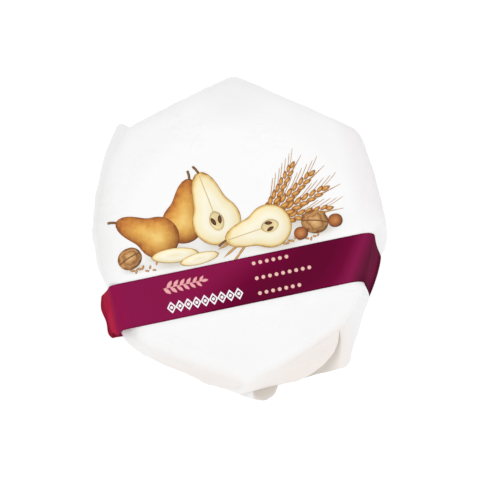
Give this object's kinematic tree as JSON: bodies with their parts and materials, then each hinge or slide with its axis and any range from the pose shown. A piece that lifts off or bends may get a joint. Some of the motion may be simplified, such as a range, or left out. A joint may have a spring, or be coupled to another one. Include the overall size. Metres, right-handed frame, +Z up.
{
  "type": "paper-wrapped round soft cheese",
  "caption": "Round soft cheese wrapped in white printed paper, folded to a soft octagon with pleated corners and closed by a wine-red paper band round it.",
  "frame": {"origin": "centre of the pack's footprint, on the surface it rests on", "axes": "+Z up, the printed face; the band crosses the top along X; +Y away from a viewer who sees the print upright"},
  "size_m": [0.0948, 0.1032, 0.0252],
  "materials": {
    "wrapping_paper": "smooth white wrapping paper, matt with a slight sheen, printed on top",
    "band_paper": "wine-red printed paper, satin"
  },
  "bodies": {
    "root": {"wrapped_cheese": "wrapping_paper", "band": "band_paper"}
  },
  "joints": []
}
